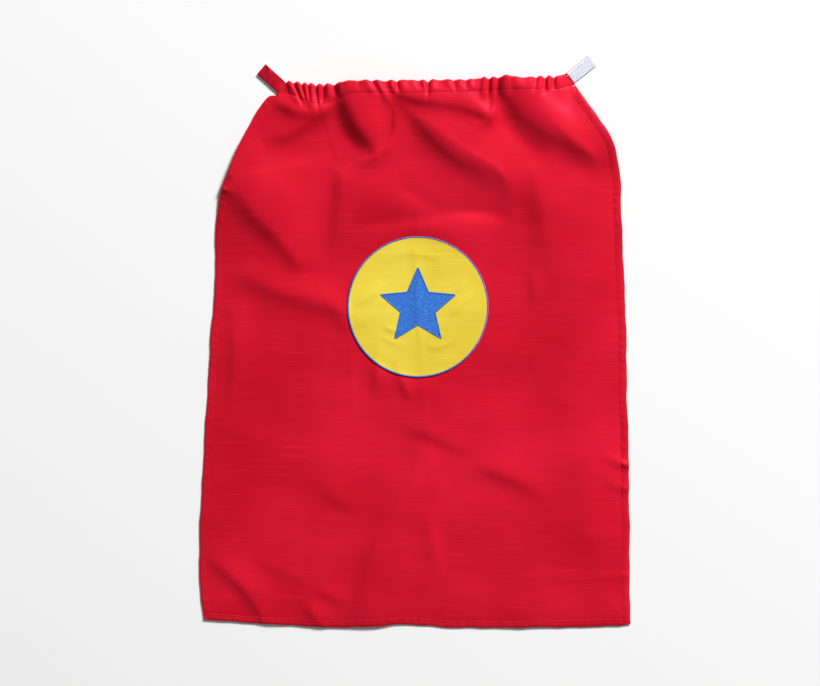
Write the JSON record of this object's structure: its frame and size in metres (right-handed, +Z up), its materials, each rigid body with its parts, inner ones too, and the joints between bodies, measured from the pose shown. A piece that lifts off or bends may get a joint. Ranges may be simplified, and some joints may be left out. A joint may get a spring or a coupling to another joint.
{
  "type": "superhero cape",
  "caption": "Child's red satin dress-up cape with a gathered elastic neck casing, hook-and-loop neck tabs and a round appliqué emblem with a star.",
  "frame": {"origin": "middle of the cape's box, on the surface that the cape lies on", "axes": "+Z up from the surface, out of the cape's front; +Y from the bottom hem to the neck; +X to the right of the front as seen from above"},
  "size_m": [0.554, 0.7322, 0.011],
  "materials": {
    "red_satin": "satin",
    "yellow_satin": "satin",
    "blue_thread": "satin",
    "red_thread": "satin",
    "white_thread": "satin",
    "hook_tape": "matte",
    "loop_tape": "matte",
    "elastic": "matte",
    "stiffening": "matte"
  },
  "bodies": {
    "upper_cape": {"upper_panel": "red_satin", "left_hem_upper": "red_satin", "right_hem_upper": "red_satin", "left_hem_stitching_upper": "red_thread", "right_hem_stitching_upper": "red_thread", "neck_casing": "red_satin", "neck_elastic": "elastic", "casing_stitching": "red_thread", "emblem_backing": "stiffening", "emblem_patch": "yellow_satin", "emblem_border": "blue_thread", "emblem_star": "blue_thread", "left_tab_tack": "red_thread", "right_tab_tack": "red_thread"},
    "lower_cape": {"lower_panel": "red_satin", "left_hem_lower": "red_satin", "right_hem_lower": "red_satin", "bottom_hem": "red_satin", "left_hem_stitching_lower": "red_thread", "right_hem_stitching_lower": "red_thread", "bottom_hem_stitching": "red_thread"},
    "left_tab": {"left_tab_strap": "red_satin", "left_loop_tape": "loop_tape", "left_tape_stitching": "red_thread"},
    "right_tab": {"right_tab_strap": "red_satin", "right_hook_tape": "hook_tape", "right_tape_stitching": "white_thread"}
  },
  "joints": [
    {"name": "lower_fold", "type": "hinge", "parent": "upper_cape", "child": "lower_cape", "pos_m": [0, -0.05512, 0.008], "axis": [-1, 0, 0], "range_deg": [0, 170]},
    {"name": "left_tab_fold", "type": "hinge", "parent": "upper_cape", "child": "left_tab", "pos_m": [-0.1711, 0.32478, 0.005], "axis": [0.6691, 0.7431, 0], "range_deg": [0, 165]},
    {"name": "right_tab_fold", "type": "hinge", "parent": "upper_cape", "child": "right_tab", "pos_m": [0.1967, 0.33698, 0.005], "axis": [0.6252, -0.7804, 0], "range_deg": [0, 165]}
  ]
}
